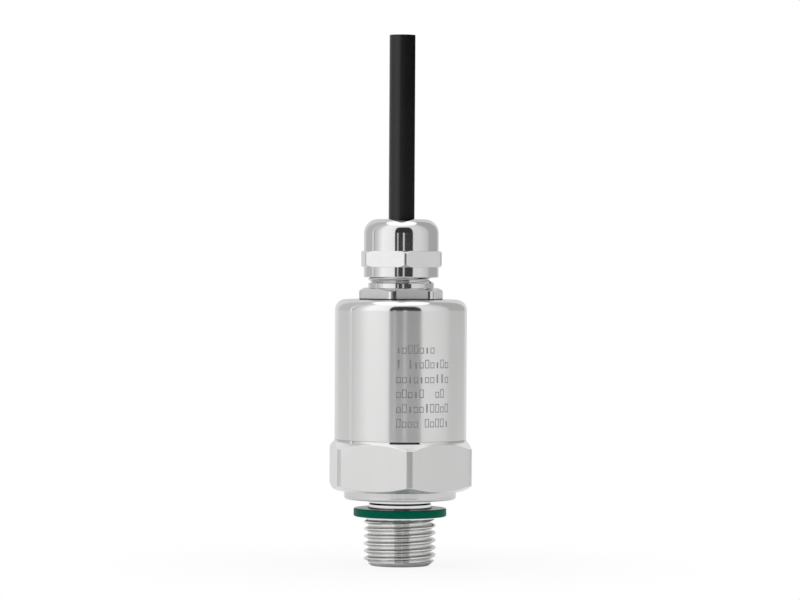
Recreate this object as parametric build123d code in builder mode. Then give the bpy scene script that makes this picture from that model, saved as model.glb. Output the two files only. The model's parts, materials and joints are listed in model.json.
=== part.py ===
"""Screw-in pressure transmitter with a cable gland, in millimetres.

The origin is the centre of the thread's free end face, which is the mouth of the
pressure port. +Z runs up the axis towards the cable, and one corner of the big
hexagon points along -Y.
"""

import os
from math import atan, cos, pi, radians, sin, sqrt, tan

from build123d import *

# Pipe thread G1/4 and the stem it is cut on
thread_diameter = 13.157
thread_pitch = 1.337
thread_depth = 0.856
thread_length = 8.9
tip_face_diameter = 10.5
tip_chamfer_height = 1.05
runout_height = 0.8
neck_diameter = 11.4
neck_length = 3.2
neck_groove_depth = 0.2
neck_groove_width = 0.3
neck_groove_below_collar = 0.65
port_diameter = 5.0

# Profile ring under the shoulder
seal_outer_diameter = 16.9
seal_fit = 0.1
seal_thickness = 1.5
seal_edge_radius = 0.28
seal_rest_gap = 0.05

# Shoulder collar and hexagon
collar_diameter = 20.4
collar_height = 1.6
collar_edge_radius = 0.45
hex_flat_step = 0.25
hex_height = 9.25
hex_corner_turning = 0.315
hex_lower_face_inset = 0.6
hex_lower_chamfer_height = 1.08
hex_upper_chamfer_height = 1.55
hex_corner_angle = -90

# Housing sleeve
housing_diameter = 24.0
housing_wall = 1.2
housing_height = 25.45
housing_top_thickness = 4.0
housing_top_radius = 1.85
housing_foot_chamfer = 0.15
spigot_clearance = 0.05
spigot_height = 4.6
spigot_lead_chamfer = 0.4
housing_oring_cord = 1.3
housing_oring_squeeze = 0.2
housing_oring_height = 2.2
oring_groove_share = 1.3
oring_width_share = 1.1
oring_corner_share = 0.4

# Pressure capsule and its seat
capsule_diameter = 15.0
capsule_height = 7.0
capsule_clearance = 0.05
capsule_edge_chamfer = 0.25
seat_floor_height = 1.5
pressure_pocket_depth = 0.5
front_recess_wall = 1.1
weld_ring_height = 0.6
weld_ring_width = 0.8
weld_ring_chamfer = 0.15
film_thickness = 0.12
film_rim_width = 0.8
film_wave_height = 0.12
film_waves = 3
oil_pocket_depth = 0.3
oil_chamber_diameter = 6.4
header_diameter = 8.0
header_thickness = 3.4
header_seat_height = 2.6
pin_inset = 1.5
pin_diameter = 0.45
pin_count = 6
pin_reach = 0.4
glass_bead_diameter = 1.1
pedestal_side = 2.2
pedestal_height = 0.5
die_side = 1.8
die_height = 0.6
capsule_oring_cord = 1.8
capsule_oring_squeeze = 0.36
capsule_oring_height = 2.6
retainer_height = 2.0
retainer_width = 2.15
retainer_clearance = 0.1
retainer_slot_width = 1.6
retainer_slot_depth = 1.0

# Boards
ceramic_clearance = 0.4
ceramic_thickness = 0.63
link_wire_diameter = 0.6
link_wire_inset = 0.6
link_wire_count = 4
board_thickness = 1.6
board_clearance = 0.15
holder_clearance = 0.2
holder_wall = 0.65
holder_ledge_reach = 1.2
holder_ledge_height = 2.0
holder_wall_height = 2.2
hook_count = 3
hook_arc = 24
hook_reach = 0.55
chip_length = 4.9
chip_width = 3.9
chip_height = 1.5
chip_standoff = 0.15
lead_span = 6.0
lead_width = 0.41
lead_pitch = 1.27
leads_per_side = 4
lead_thickness = 0.2
regulator_length = 4.5
regulator_width = 2.5
regulator_height = 1.5
diode_length = 4.3
diode_width = 2.6
diode_height = 2.1
capacitor_length = 2.0
capacitor_width = 1.25
capacitor_height = 1.1
resistor_length = 1.6
resistor_width = 0.8
resistor_height = 0.45
moulded_edge_chamfer = 0.2
ceramic_edge_chamfer = 0.06
solder_diameter = 1.9
link_solder_diameter = 1.1
solder_height = 0.9
hole_clearance = 0.05

# Cable gland with an M12 x 1.5 thread
gland_thread_diameter = 12.0
gland_thread_pitch = 1.5
gland_thread_chamfer = 0.375
gland_shank_length = 4.5
gland_hex_across_flats = 14.0
gland_hex_corner_turning = 0.12
gland_hex_height = 2.1
gland_hex_face_inset = 0.25
gland_hex_chamfer_height = 0.6
gland_hex_corner_angle = -110.6
gland_neck_undercut = 0.8
gland_neck_height = 0.8
gland_oring_cord = 0.9
gland_oring_pocket_reach = 0.5
gland_oring_pocket_depth = 0.7
gland_upper_thread_length = 6.4
gland_bore_clearance = 0.65
insert_pocket_depth = 4.9
thread_clearance = 0.06
nut_gap_to_flange = 1.9
nut_skirt_wall = 0.8
nut_skirt_height = 1.9
nut_hex_height = 2.9
nut_hex_corner_angle = -91.6
nut_hex_face_inset = 0.46
nut_hex_chamfer_height = 0.35
nut_height = 10.6
nut_dome_radius = 2.05
nut_mouth_clearance = 0.75
nut_lip_radius = 0.38
nut_edge_chamfer = 0.25
nut_turns = 3

# Clamp insert and its rubber sleeve
insert_clearance = 0.1
insert_floor_gap = 0.1
sleeve_wall = 1.03
insert_wall = 0.9
insert_collar_reach = 0.8
insert_collar_height = 0.5
finger_length = 3.7
finger_root_inset = 0.3
finger_tip_thickness = 0.4
finger_count = 8
finger_slot_width = 0.7
finger_slot_length = 3.2
cone_clearance = 0.1
sleeve_clearance = 0.05
sleeve_floor_gap = 0.2
sleeve_top_chamfer = 0.4

# Cable
cable_diameter = 4.7
cable_grip_clearance = 0.07
cable_free_length = 33.5
cable_jacket_wall = 0.7
cable_inner_length = 21.5
shield_thickness = 0.12
core_bundle_clearance = 0.13
core_side_clearance = 0.05
insulation_thickness = 0.3
core_pad_inset = 3.0
core_strip_length = 1.4
core_pad_rise = 3.0
core_gather_height = 3.6
core_bend_share = 0.9

# Heights along the axis that follow from the sizes above
collar_z = thread_length + neck_length
hex_z = collar_z + collar_height
hex_top_z = hex_z + hex_height
spigot_top_z = hex_top_z + spigot_height
housing_top_z = hex_top_z + housing_height
housing_ceiling_z = housing_top_z - housing_top_thickness
seat_z = hex_z + seat_floor_height
capsule_top_z = seat_z + capsule_height
board_z = spigot_top_z + holder_ledge_height
board_top_z = board_z + board_thickness
flange_top_z = housing_top_z + gland_hex_height
gland_rim_z = flange_top_z + gland_upper_thread_length
nut_z = flange_top_z + nut_gap_to_flange
nut_top_z = nut_z + nut_height
insert_z = gland_rim_z - insert_pocket_depth + insert_floor_gap
insert_collar_z = gland_rim_z + insert_floor_gap
finger_z = insert_collar_z + insert_collar_height
insert_top_z = finger_z + finger_length
cable_end_z = nut_top_z + cable_free_length
cable_start_z = nut_top_z - cable_inner_length

# Radii that several pieces share
thread_radius = thread_diameter / 2
neck_radius = neck_diameter / 2
seal_inner_radius = neck_radius + seal_fit
housing_radius = housing_diameter / 2
housing_inner_radius = housing_radius - housing_wall
spigot_radius = housing_inner_radius - spigot_clearance
hex_flat_radius = housing_radius + hex_flat_step
hex_corner_radius = hex_flat_radius / cos(pi / 6) - hex_corner_turning

capsule_radius = capsule_diameter / 2
capsule_bore_radius = capsule_radius + capsule_clearance
recess_radius = capsule_radius - front_recess_wall
weld_ring_bore_radius = recess_radius - weld_ring_width
header_radius = header_diameter / 2
pin_circle_radius = header_radius - pin_inset
retainer_radius = capsule_bore_radius - retainer_clearance
retainer_bore_radius = retainer_radius - retainer_width
ceramic_radius = retainer_bore_radius - ceramic_clearance
link_circle_radius = ceramic_radius - link_wire_inset
holder_radius = housing_inner_radius - holder_clearance
holder_wall_radius = holder_radius - holder_wall
board_radius = holder_wall_radius - board_clearance
core_pad_radius = board_radius - core_pad_inset

gland_thread_radius = gland_thread_diameter / 2
gland_corner_radius = gland_hex_across_flats / 2 / cos(pi / 6) - gland_hex_corner_turning
oring_pocket_radius = gland_thread_radius + gland_oring_pocket_reach
gland_neck_radius = gland_thread_radius - gland_neck_undercut
cable_radius = cable_diameter / 2
sleeve_bore_radius = cable_radius + cable_grip_clearance
insert_bore_radius = sleeve_bore_radius + sleeve_wall + sleeve_clearance
insert_pocket_radius = insert_bore_radius + insert_wall + insert_clearance
insert_collar_radius = insert_pocket_radius + insert_collar_reach
finger_root_radius = insert_collar_radius - finger_root_inset
finger_tip_radius = insert_bore_radius + finger_tip_thickness
nut_bore_radius = gland_thread_radius + thread_clearance
nut_mouth_radius = cable_radius + nut_mouth_clearance
nut_skirt_radius = gland_thread_radius + nut_skirt_wall
shield_outer_radius = cable_radius - cable_jacket_wall
shield_inner_radius = shield_outer_radius - shield_thickness

# Three cores that fill the braid: each touches its neighbours but for a clearance
bundle_radius = shield_inner_radius - core_bundle_clearance
core_radius = bundle_radius / (1 + 2 / sqrt(3)) - core_side_clearance
core_lay_radius = bundle_radius - core_radius
conductor_radius = core_radius - insulation_thickness

os.makedirs("parts", exist_ok=True)


def save(part, name):
    """Label a finished piece and write its STEP file."""
    part.label = name
    export_step(part, f"parts/{name}.step")


def hexagon(flat_radius, corner_angle):
    """Hexagon sketch with one corner at the given angle."""
    RegularPolygon(flat_radius, 6, major_radius=False, rotation=corner_angle)


# Process connection: hexagon with lathe-turned corners, then the turned stem
# below it and the spigot above it, then the port and the capsule's bore.
with BuildPart() as process_connection:
    with BuildSketch(Plane.XY.offset(hex_z)):
        hexagon(hex_flat_radius, hex_corner_angle)
    extrude(amount=hex_height)
    with BuildSketch(Plane.XZ):
        with BuildLine():
            Polyline(
                (0, hex_z),
                (hex_flat_radius - hex_lower_face_inset, hex_z),
                (hex_corner_radius, hex_z + hex_lower_chamfer_height),
                (hex_corner_radius, hex_top_z - hex_upper_chamfer_height),
                (housing_radius, hex_top_z),
                (0, hex_top_z),
                close=True,
            )
        make_face()
    revolve(axis=Axis.Z, mode=Mode.INTERSECT)

    groove_z = collar_z - neck_groove_below_collar
    with BuildSketch(Plane.XZ):
        with BuildLine():
            Polyline(
                (0, 0),
                (tip_face_diameter / 2, 0),
                (thread_radius, tip_chamfer_height),
                (thread_radius, thread_length - runout_height),
                (neck_radius, thread_length),
                (neck_radius, groove_z - neck_groove_width),
                (neck_radius - neck_groove_depth, groove_z - neck_groove_width / 2),
                (neck_radius, groove_z),
                (neck_radius, collar_z),
                (collar_diameter / 2 - collar_edge_radius, collar_z),
            )
            RadiusArc(
                (collar_diameter / 2 - collar_edge_radius, collar_z),
                (collar_diameter / 2, collar_z + collar_edge_radius),
                -collar_edge_radius,
            )
            Polyline(
                (collar_diameter / 2, collar_z + collar_edge_radius),
                (collar_diameter / 2, hex_z),
                (0, hex_z),
                (0, 0),
            )
        make_face()
    revolve(axis=Axis.Z)

    housing_groove_z = hex_top_z + housing_oring_height
    housing_groove_radius = housing_inner_radius - housing_oring_cord + housing_oring_squeeze
    housing_groove_half = housing_oring_cord * oring_groove_share / 2
    with BuildSketch(Plane.XZ):
        with BuildLine():
            Polyline(
                (0, hex_top_z),
                (spigot_radius, hex_top_z),
                (spigot_radius, housing_groove_z - housing_groove_half),
                (housing_groove_radius, housing_groove_z - housing_groove_half),
                (housing_groove_radius, housing_groove_z + housing_groove_half),
                (spigot_radius, housing_groove_z + housing_groove_half),
                (spigot_radius, spigot_top_z - spigot_lead_chamfer),
                (spigot_radius - spigot_lead_chamfer, spigot_top_z),
                (0, spigot_top_z),
                close=True,
            )
        make_face()
    revolve(axis=Axis.Z)

    with BuildSketch(Plane.XY):
        Circle(port_diameter / 2)
    extrude(amount=seat_z, mode=Mode.SUBTRACT)
    with BuildSketch(Plane.XY.offset(seat_z - pressure_pocket_depth)):
        Circle(weld_ring_bore_radius)
    extrude(amount=pressure_pocket_depth, mode=Mode.SUBTRACT)
    with BuildSketch(Plane.XY.offset(seat_z)):
        Circle(capsule_bore_radius)
    extrude(amount=spigot_top_z - seat_z, mode=Mode.SUBTRACT)
save(process_connection.part, "process_connection")


def ring(inner_radius, outer_radius, low_z, high_z, corner_radius):
    """Solid of revolution with a rounded rectangular section."""
    with BuildPart() as turned:
        with BuildSketch(Plane.XZ):
            with Locations(((inner_radius + outer_radius) / 2, (low_z + high_z) / 2)):
                RectangleRounded(outer_radius - inner_radius, high_z - low_z, corner_radius)
        revolve(axis=Axis.Z)
    return turned.part


# Profile ring: it sits on the thread's run-out, loose below the shoulder.
seal_z = thread_length + seal_rest_gap
seal_ring = ring(
    seal_inner_radius,
    seal_outer_diameter / 2,
    seal_z,
    seal_z + seal_thickness,
    seal_edge_radius,
)
save(seal_ring, "seal_ring")

# Housing: a sleeve closed at its top, with the tapped hole for the gland.
with BuildPart() as housing:
    with BuildSketch(Plane.XZ):
        with BuildLine():
            Polyline(
                (gland_thread_radius, housing_ceiling_z),
                (housing_inner_radius, housing_ceiling_z),
                (housing_inner_radius, hex_top_z),
                (housing_radius - housing_foot_chamfer, hex_top_z),
                (housing_radius, hex_top_z + housing_foot_chamfer),
                (housing_radius, housing_top_z - housing_top_radius),
            )
            RadiusArc(
                (housing_radius, housing_top_z - housing_top_radius),
                (housing_radius - housing_top_radius, housing_top_z),
                -housing_top_radius,
            )
            Polyline(
                (housing_radius - housing_top_radius, housing_top_z),
                (oring_pocket_radius, housing_top_z),
                (gland_thread_radius, housing_top_z - gland_oring_pocket_reach),
                (gland_thread_radius, housing_ceiling_z),
            )
        make_face()
    revolve(axis=Axis.Z)
save(housing.part, "housing")

# Static seals, drawn in the squeezed shape that they take in their grooves
oring_gap = 0.02
housing_oring = ring(
    housing_groove_radius + oring_gap,
    housing_inner_radius - oring_gap,
    housing_groove_z - housing_oring_cord * oring_width_share / 2,
    housing_groove_z + housing_oring_cord * oring_width_share / 2,
    (housing_oring_cord - housing_oring_squeeze) * oring_corner_share,
)
save(housing_oring, "housing_oring")

capsule_groove_z = seat_z + capsule_oring_height
capsule_groove_radius = capsule_bore_radius - capsule_oring_cord + capsule_oring_squeeze
capsule_groove_half = capsule_oring_cord * oring_groove_share / 2
capsule_oring = ring(
    capsule_groove_radius + oring_gap,
    capsule_bore_radius - oring_gap,
    capsule_groove_z - capsule_oring_cord * oring_width_share / 2,
    capsule_groove_z + capsule_oring_cord * oring_width_share / 2,
    (capsule_oring_cord - capsule_oring_squeeze) * oring_corner_share,
)
save(capsule_oring, "capsule_oring")

gland_oring_centre_radius = (gland_neck_radius + oring_pocket_radius) / 2
with BuildPart() as gland_oring:
    with BuildSketch(Plane.XZ):
        with Locations((gland_oring_centre_radius, housing_top_z + oring_gap)):
            Circle(gland_oring_cord / 2)
    revolve(axis=Axis.Z)
save(gland_oring.part, "gland_oring")

# Sensor capsule: a turned body with a recess for the film, an oil chamber, a seat
# for the header and a groove for its seal.
film_z = seat_z + weld_ring_height
film_top_z = film_z + film_thickness
header_z = seat_z + header_seat_height
with BuildPart() as sensor_capsule:
    with BuildSketch(Plane.XZ):
        with BuildLine():
            Polyline(
                (recess_radius, seat_z),
                (capsule_radius, seat_z),
                (capsule_radius, capsule_groove_z - capsule_groove_half),
                (capsule_groove_radius, capsule_groove_z - capsule_groove_half),
                (capsule_groove_radius, capsule_groove_z + capsule_groove_half),
                (capsule_radius, capsule_groove_z + capsule_groove_half),
                (capsule_radius, capsule_top_z - capsule_edge_chamfer),
                (capsule_radius - capsule_edge_chamfer, capsule_top_z),
                (header_radius, capsule_top_z),
                (header_radius, header_z),
                (oil_chamber_diameter / 2, header_z),
                (oil_chamber_diameter / 2, film_top_z + oil_pocket_depth),
                (weld_ring_bore_radius, film_top_z + oil_pocket_depth),
                (weld_ring_bore_radius, film_top_z),
                (recess_radius, film_top_z),
                close=True,
            )
        make_face()
    revolve(axis=Axis.Z)
save(sensor_capsule.part, "sensor_capsule")

# Film with concentric waves, clamped at its flat rim by the weld ring
film_radius = recess_radius - oring_gap
film_wave_pitch = (weld_ring_bore_radius - film_rim_width) / film_waves
with BuildPart() as diaphragm:
    with BuildSketch(Plane.XZ):
        with BuildLine():
            wave_end = film_wave_pitch * film_waves
            for lift, outward in ((0, True), (film_thickness, False)):
                for wave in range(film_waves):
                    start = film_wave_pitch * wave
                    middle = start + film_wave_pitch / 2
                    end = start + film_wave_pitch
                    level = film_z + lift
                    bow = film_wave_height if wave % 2 else -film_wave_height
                    ThreePointArc((start, level), (middle, level + bow), (end, level))
                Line((wave_end, film_z + lift), (film_radius, film_z + lift))
            Line((0, film_z), (0, film_top_z))
            Line((film_radius, film_z), (film_radius, film_top_z))
        make_face()
    revolve(axis=Axis.Z)
save(diaphragm.part, "diaphragm")

with BuildPart() as diaphragm_ring:
    with BuildSketch(Plane.XY.offset(seat_z)):
        Circle(recess_radius - oring_gap)
        Circle(weld_ring_bore_radius, mode=Mode.SUBTRACT)
    extrude(amount=weld_ring_height)
    chamfer(diaphragm_ring.edges().filter_by(GeomType.CIRCLE).sort_by(Axis.Z)[0], weld_ring_chamfer)
save(diaphragm_ring.part, "diaphragm_ring")

# Header with glass-sealed pins; the chip sits on its oil side
with BuildPart() as sensor_header:
    with BuildSketch(Plane.XY.offset(header_z)):
        Circle(header_radius - oring_gap)
        with PolarLocations(pin_circle_radius, pin_count):
            Circle(glass_bead_diameter / 2, mode=Mode.SUBTRACT)
    extrude(amount=header_thickness)
save(sensor_header.part, "sensor_header")

with BuildPart() as header_glass:
    with BuildSketch(Plane.XY.offset(header_z)):
        with PolarLocations(pin_circle_radius, pin_count):
            Circle(glass_bead_diameter / 2)
            Circle(pin_diameter / 2, mode=Mode.SUBTRACT)
    extrude(amount=header_thickness)
save(header_glass.part, "header_glass")

ceramic_top_z = capsule_top_z + ceramic_thickness
with BuildPart() as sensor_pins:
    with BuildSketch(Plane.XY.offset(header_z - pin_reach)):
        with PolarLocations(pin_circle_radius, pin_count):
            Circle(pin_diameter / 2)
    extrude(amount=ceramic_top_z + pin_reach - header_z + pin_reach)
save(sensor_pins.part, "sensor_pins")

with BuildPart() as die_pedestal:
    with BuildSketch(Plane.XY.offset(header_z - pedestal_height)):
        Rectangle(pedestal_side, pedestal_side)
    extrude(amount=pedestal_height)
save(die_pedestal.part, "die_pedestal")

with BuildPart() as sensor_die:
    with BuildSketch(Plane.XY.offset(header_z - pedestal_height - die_height)):
        Rectangle(die_side, die_side)
    extrude(amount=die_height)
save(sensor_die.part, "sensor_die")

# Threaded ring above the capsule, with a slot across it for a face spanner
with BuildPart() as capsule_retainer:
    with BuildSketch(Plane.XY.offset(capsule_top_z)):
        Circle(retainer_radius)
        Circle(retainer_bore_radius, mode=Mode.SUBTRACT)
    extrude(amount=retainer_height)
    with BuildSketch(Plane.XY.offset(capsule_top_z + retainer_height)):
        Rectangle(capsule_diameter * 2, retainer_slot_width)
    extrude(amount=-retainer_slot_depth, mode=Mode.SUBTRACT)
save(capsule_retainer.part, "capsule_retainer")

# Ceramic compensation board on the capsule's back, and the wires up from it
with BuildPart() as compensation_board:
    with BuildSketch(Plane.XY.offset(capsule_top_z)):
        Circle(ceramic_radius)
        with PolarLocations(pin_circle_radius, pin_count):
            Circle(pin_diameter / 2, mode=Mode.SUBTRACT)
        with PolarLocations(link_circle_radius, link_wire_count, start_angle=45):
            Circle(link_wire_diameter / 2, mode=Mode.SUBTRACT)
    extrude(amount=ceramic_thickness)
save(compensation_board.part, "compensation_board")

with BuildPart() as link_wires:
    with BuildSketch(Plane.XY.offset(capsule_top_z)):
        with PolarLocations(link_circle_radius, link_wire_count, start_angle=45):
            Circle(link_wire_diameter / 2)
    extrude(amount=board_top_z + solder_height / 2 - capsule_top_z)
save(link_wires.part, "link_wires")

# Plastic holder: a ledge under the board, a wall round it and three hooks over it
holder_top_z = board_z + holder_wall_height
with BuildPart() as board_holder:
    with BuildSketch(Plane.XY.offset(spigot_top_z)):
        Circle(holder_radius)
        Circle(board_radius - holder_ledge_reach, mode=Mode.SUBTRACT)
    extrude(amount=holder_ledge_height)
    with BuildSketch(Plane.XY.offset(board_z)):
        Circle(holder_radius)
        Circle(holder_wall_radius, mode=Mode.SUBTRACT)
    extrude(amount=holder_wall_height)
    hook_face_radius = board_radius - hook_reach
    hook_root_radius = (holder_wall_radius + holder_radius) / 2
    for hook in range(hook_count):
        turn = radians(hook * 360 / hook_count)
        outward = (cos(turn), sin(turn), 0)
        sideways = (sin(turn), -cos(turn), 0)
        with BuildSketch(Plane(origin=(0, 0, 0), x_dir=outward, z_dir=sideways)):
            with BuildLine():
                Polyline(
                    (hook_root_radius, board_top_z),
                    (hook_face_radius, board_top_z),
                    (holder_wall_radius, holder_top_z),
                    (hook_root_radius, holder_top_z),
                    close=True,
                )
            make_face()
        revolve(axis=Axis.Z, revolution_arc=hook_arc)
save(board_holder.part, "board_holder")

# Round amplifier board, drilled for the wires from below and the cores from above
core_turns = {"core_red": 90, "core_black": 210, "core_green": 330}
with BuildPart() as amplifier_board:
    with BuildSketch(Plane.XY.offset(board_z)):
        Circle(board_radius)
        with PolarLocations(link_circle_radius, link_wire_count, start_angle=45):
            Circle(link_wire_diameter / 2 + hole_clearance, mode=Mode.SUBTRACT)
        with PolarLocations(core_pad_radius, len(core_turns), start_angle=90):
            Circle(conductor_radius + hole_clearance, mode=Mode.SUBTRACT)
    extrude(amount=board_thickness)
save(amplifier_board.part, "amplifier_board")

# Amplifier chip: moulded body with gull-wing leads down to the board
chip_z = board_top_z + chip_standoff
lead_foot = (lead_span - chip_width) / 4
with BuildPart() as amplifier_chip:
    with BuildSketch(Plane.XY.offset(chip_z)):
        Rectangle(chip_length, chip_width)
    extrude(amount=chip_height)
    chamfer(amplifier_chip.edges().group_by(Axis.Z)[-1], moulded_edge_chamfer)
    for lead in range(leads_per_side):
        lead_x = (lead - (leads_per_side - 1) / 2) * lead_pitch
        with BuildSketch(Plane.YZ.offset(lead_x - lead_width / 2)):
            for side in (-1, 1):
                with BuildLine():
                    knee = side * (chip_width / 2 + lead_foot)
                    tip = side * lead_span / 2
                    inside = side * chip_width / 2
                    lead_top_z = chip_z + chip_height / 2
                    Polyline(
                        (inside, lead_top_z),
                        (knee, lead_top_z),
                        (knee, board_top_z + lead_thickness),
                        (tip, board_top_z + lead_thickness),
                        (tip, board_top_z),
                        (knee - side * lead_thickness, board_top_z),
                        (knee - side * lead_thickness, lead_top_z - lead_thickness),
                        (inside, lead_top_z - lead_thickness),
                        close=True,
                    )
                make_face()
        extrude(amount=lead_width)
save(amplifier_chip.part, "amplifier_chip")


def on_board(places, length, width, height, edge):
    """Group of equal moulded blocks on the amplifier board.

    Each place is x and y as shares of the board's radius, and a turn in degrees.
    """
    with BuildPart() as group:
        with BuildSketch(Plane.XY.offset(board_top_z)):
            for x, y, turn in places:
                with Locations(Location((x * board_radius, y * board_radius, 0), (0, 0, turn))):
                    Rectangle(length, width)
        extrude(amount=height)
        chamfer(group.edges().group_by(Axis.Z)[-1], edge)
    return group.part


regulator_places = [(0, -0.71, 0)]
diode_places = [(-0.63, 0.22, 90), (0.63, 0.22, 90)]
capacitor_places = [(-0.37, 0.5, 0), (0.37, 0.5, 0), (-0.1, -0.44, 90), (0.1, -0.44, 90)]
resistor_places = [(-0.31, 0.75, 0), (0.31, 0.75, 0), (-0.35, -0.51, 90), (0.35, -0.51, 90)]
save(
    on_board(regulator_places, regulator_length, regulator_width, regulator_height, moulded_edge_chamfer),
    "regulator",
)
save(
    on_board(diode_places, diode_length, diode_width, diode_height, moulded_edge_chamfer),
    "surge_diodes",
)
save(
    on_board(capacitor_places, capacitor_length, capacitor_width, capacitor_height, ceramic_edge_chamfer),
    "capacitors",
)
save(
    on_board(resistor_places, resistor_length, resistor_width, resistor_height, ceramic_edge_chamfer),
    "resistors",
)

# Solder: a low cone round each wire end and each core end
with BuildPart() as solder_joints:
    for circle, count, start, width, wire in (
        (core_pad_radius, len(core_turns), 90, solder_diameter, conductor_radius),
        (link_circle_radius, link_wire_count, 45, link_solder_diameter, link_wire_diameter / 2),
    ):
        with Locations((0, 0, board_top_z)):
            with PolarLocations(circle, count, start_angle=start):
                Cone(
                    width / 2,
                    wire + 2 * hole_clearance,
                    solder_height,
                    align=(Align.CENTER, Align.CENTER, Align.MIN),
                )
                Cylinder(
                    wire + hole_clearance,
                    solder_height,
                    align=(Align.CENTER, Align.CENTER, Align.MIN),
                    mode=Mode.SUBTRACT,
                )
save(solder_joints.part, "solder_joints")

# Gland body: shank in the housing, hexagon flange with a relief for its seal, upper
# thread for the cap nut, and the pocket that holds the clamp insert.
with BuildPart() as gland_body:
    with BuildSketch(Plane.XY.offset(housing_top_z)):
        hexagon(gland_hex_across_flats / 2, gland_hex_corner_angle)
    extrude(amount=gland_hex_height)
    with BuildSketch(Plane.XZ):
        with BuildLine():
            Polyline(
                (0, housing_top_z),
                (gland_corner_radius, housing_top_z),
                (gland_corner_radius, flange_top_z - gland_hex_chamfer_height),
                (gland_hex_across_flats / 2 - gland_hex_face_inset, flange_top_z),
                (0, flange_top_z),
                close=True,
            )
        make_face()
    revolve(axis=Axis.Z, mode=Mode.INTERSECT)
    with BuildSketch(Plane.XY.offset(housing_top_z - gland_shank_length)):
        Circle(gland_thread_radius - spigot_clearance)
    extrude(amount=gland_shank_length)
    with BuildSketch(Plane.XY.offset(flange_top_z)):
        Circle(gland_thread_radius)
    extrude(amount=gland_upper_thread_length)
    chamfer(gland_body.edges().group_by(Axis.Z)[-1], gland_thread_chamfer)
    chamfer(gland_body.edges().group_by(Axis.Z)[0], gland_thread_chamfer)
    # relief under the flange for the seal
    with BuildSketch(Plane.XY.offset(housing_top_z - gland_neck_height)):
        Circle(oring_pocket_radius)
        Circle(gland_neck_radius, mode=Mode.SUBTRACT)
    extrude(amount=gland_neck_height + gland_oring_pocket_depth, mode=Mode.SUBTRACT)
    # passage for the cable and the insert's pocket
    with BuildSketch(Plane.XY.offset(housing_top_z - gland_shank_length)):
        Circle(cable_radius + gland_bore_clearance)
    extrude(amount=gland_rim_z - housing_top_z + gland_shank_length, mode=Mode.SUBTRACT)
    with BuildSketch(Plane.XY.offset(gland_rim_z)):
        Circle(insert_pocket_radius)
    extrude(amount=-insert_pocket_depth, mode=Mode.SUBTRACT)
save(gland_body.part, "gland_body")

# Clamp insert: a ring in the pocket, a collar over the rim, and tapered fingers
with BuildPart() as clamp_insert:
    with BuildSketch(Plane.XZ):
        with BuildLine():
            Polyline(
                (insert_bore_radius, insert_z),
                (insert_pocket_radius - insert_clearance, insert_z),
                (insert_pocket_radius - insert_clearance, insert_collar_z),
                (insert_collar_radius, insert_collar_z),
                (insert_collar_radius, finger_z),
                (finger_root_radius, finger_z),
                (finger_tip_radius, insert_top_z),
                (insert_bore_radius, insert_top_z),
                close=True,
            )
        make_face()
    revolve(axis=Axis.Z)
    with BuildSketch(Plane.XY.offset(insert_top_z)):
        with PolarLocations(finger_root_radius, finger_count):
            Rectangle(finger_root_radius, finger_slot_width)
    extrude(amount=-finger_slot_length, mode=Mode.SUBTRACT)
save(clamp_insert.part, "clamp_insert")

sleeve_z = insert_z + sleeve_floor_gap
with BuildPart() as cable_seal:
    with BuildSketch(Plane.XY.offset(sleeve_z)):
        Circle(insert_bore_radius - sleeve_clearance)
        Circle(sleeve_bore_radius, mode=Mode.SUBTRACT)
    extrude(amount=insert_top_z - sleeve_z)
    chamfer(cable_seal.edges().filter_by(GeomType.CIRCLE).sort_by(Axis.Z)[-1], sleeve_top_chamfer)
save(cable_seal.part, "cable_seal")

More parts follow.
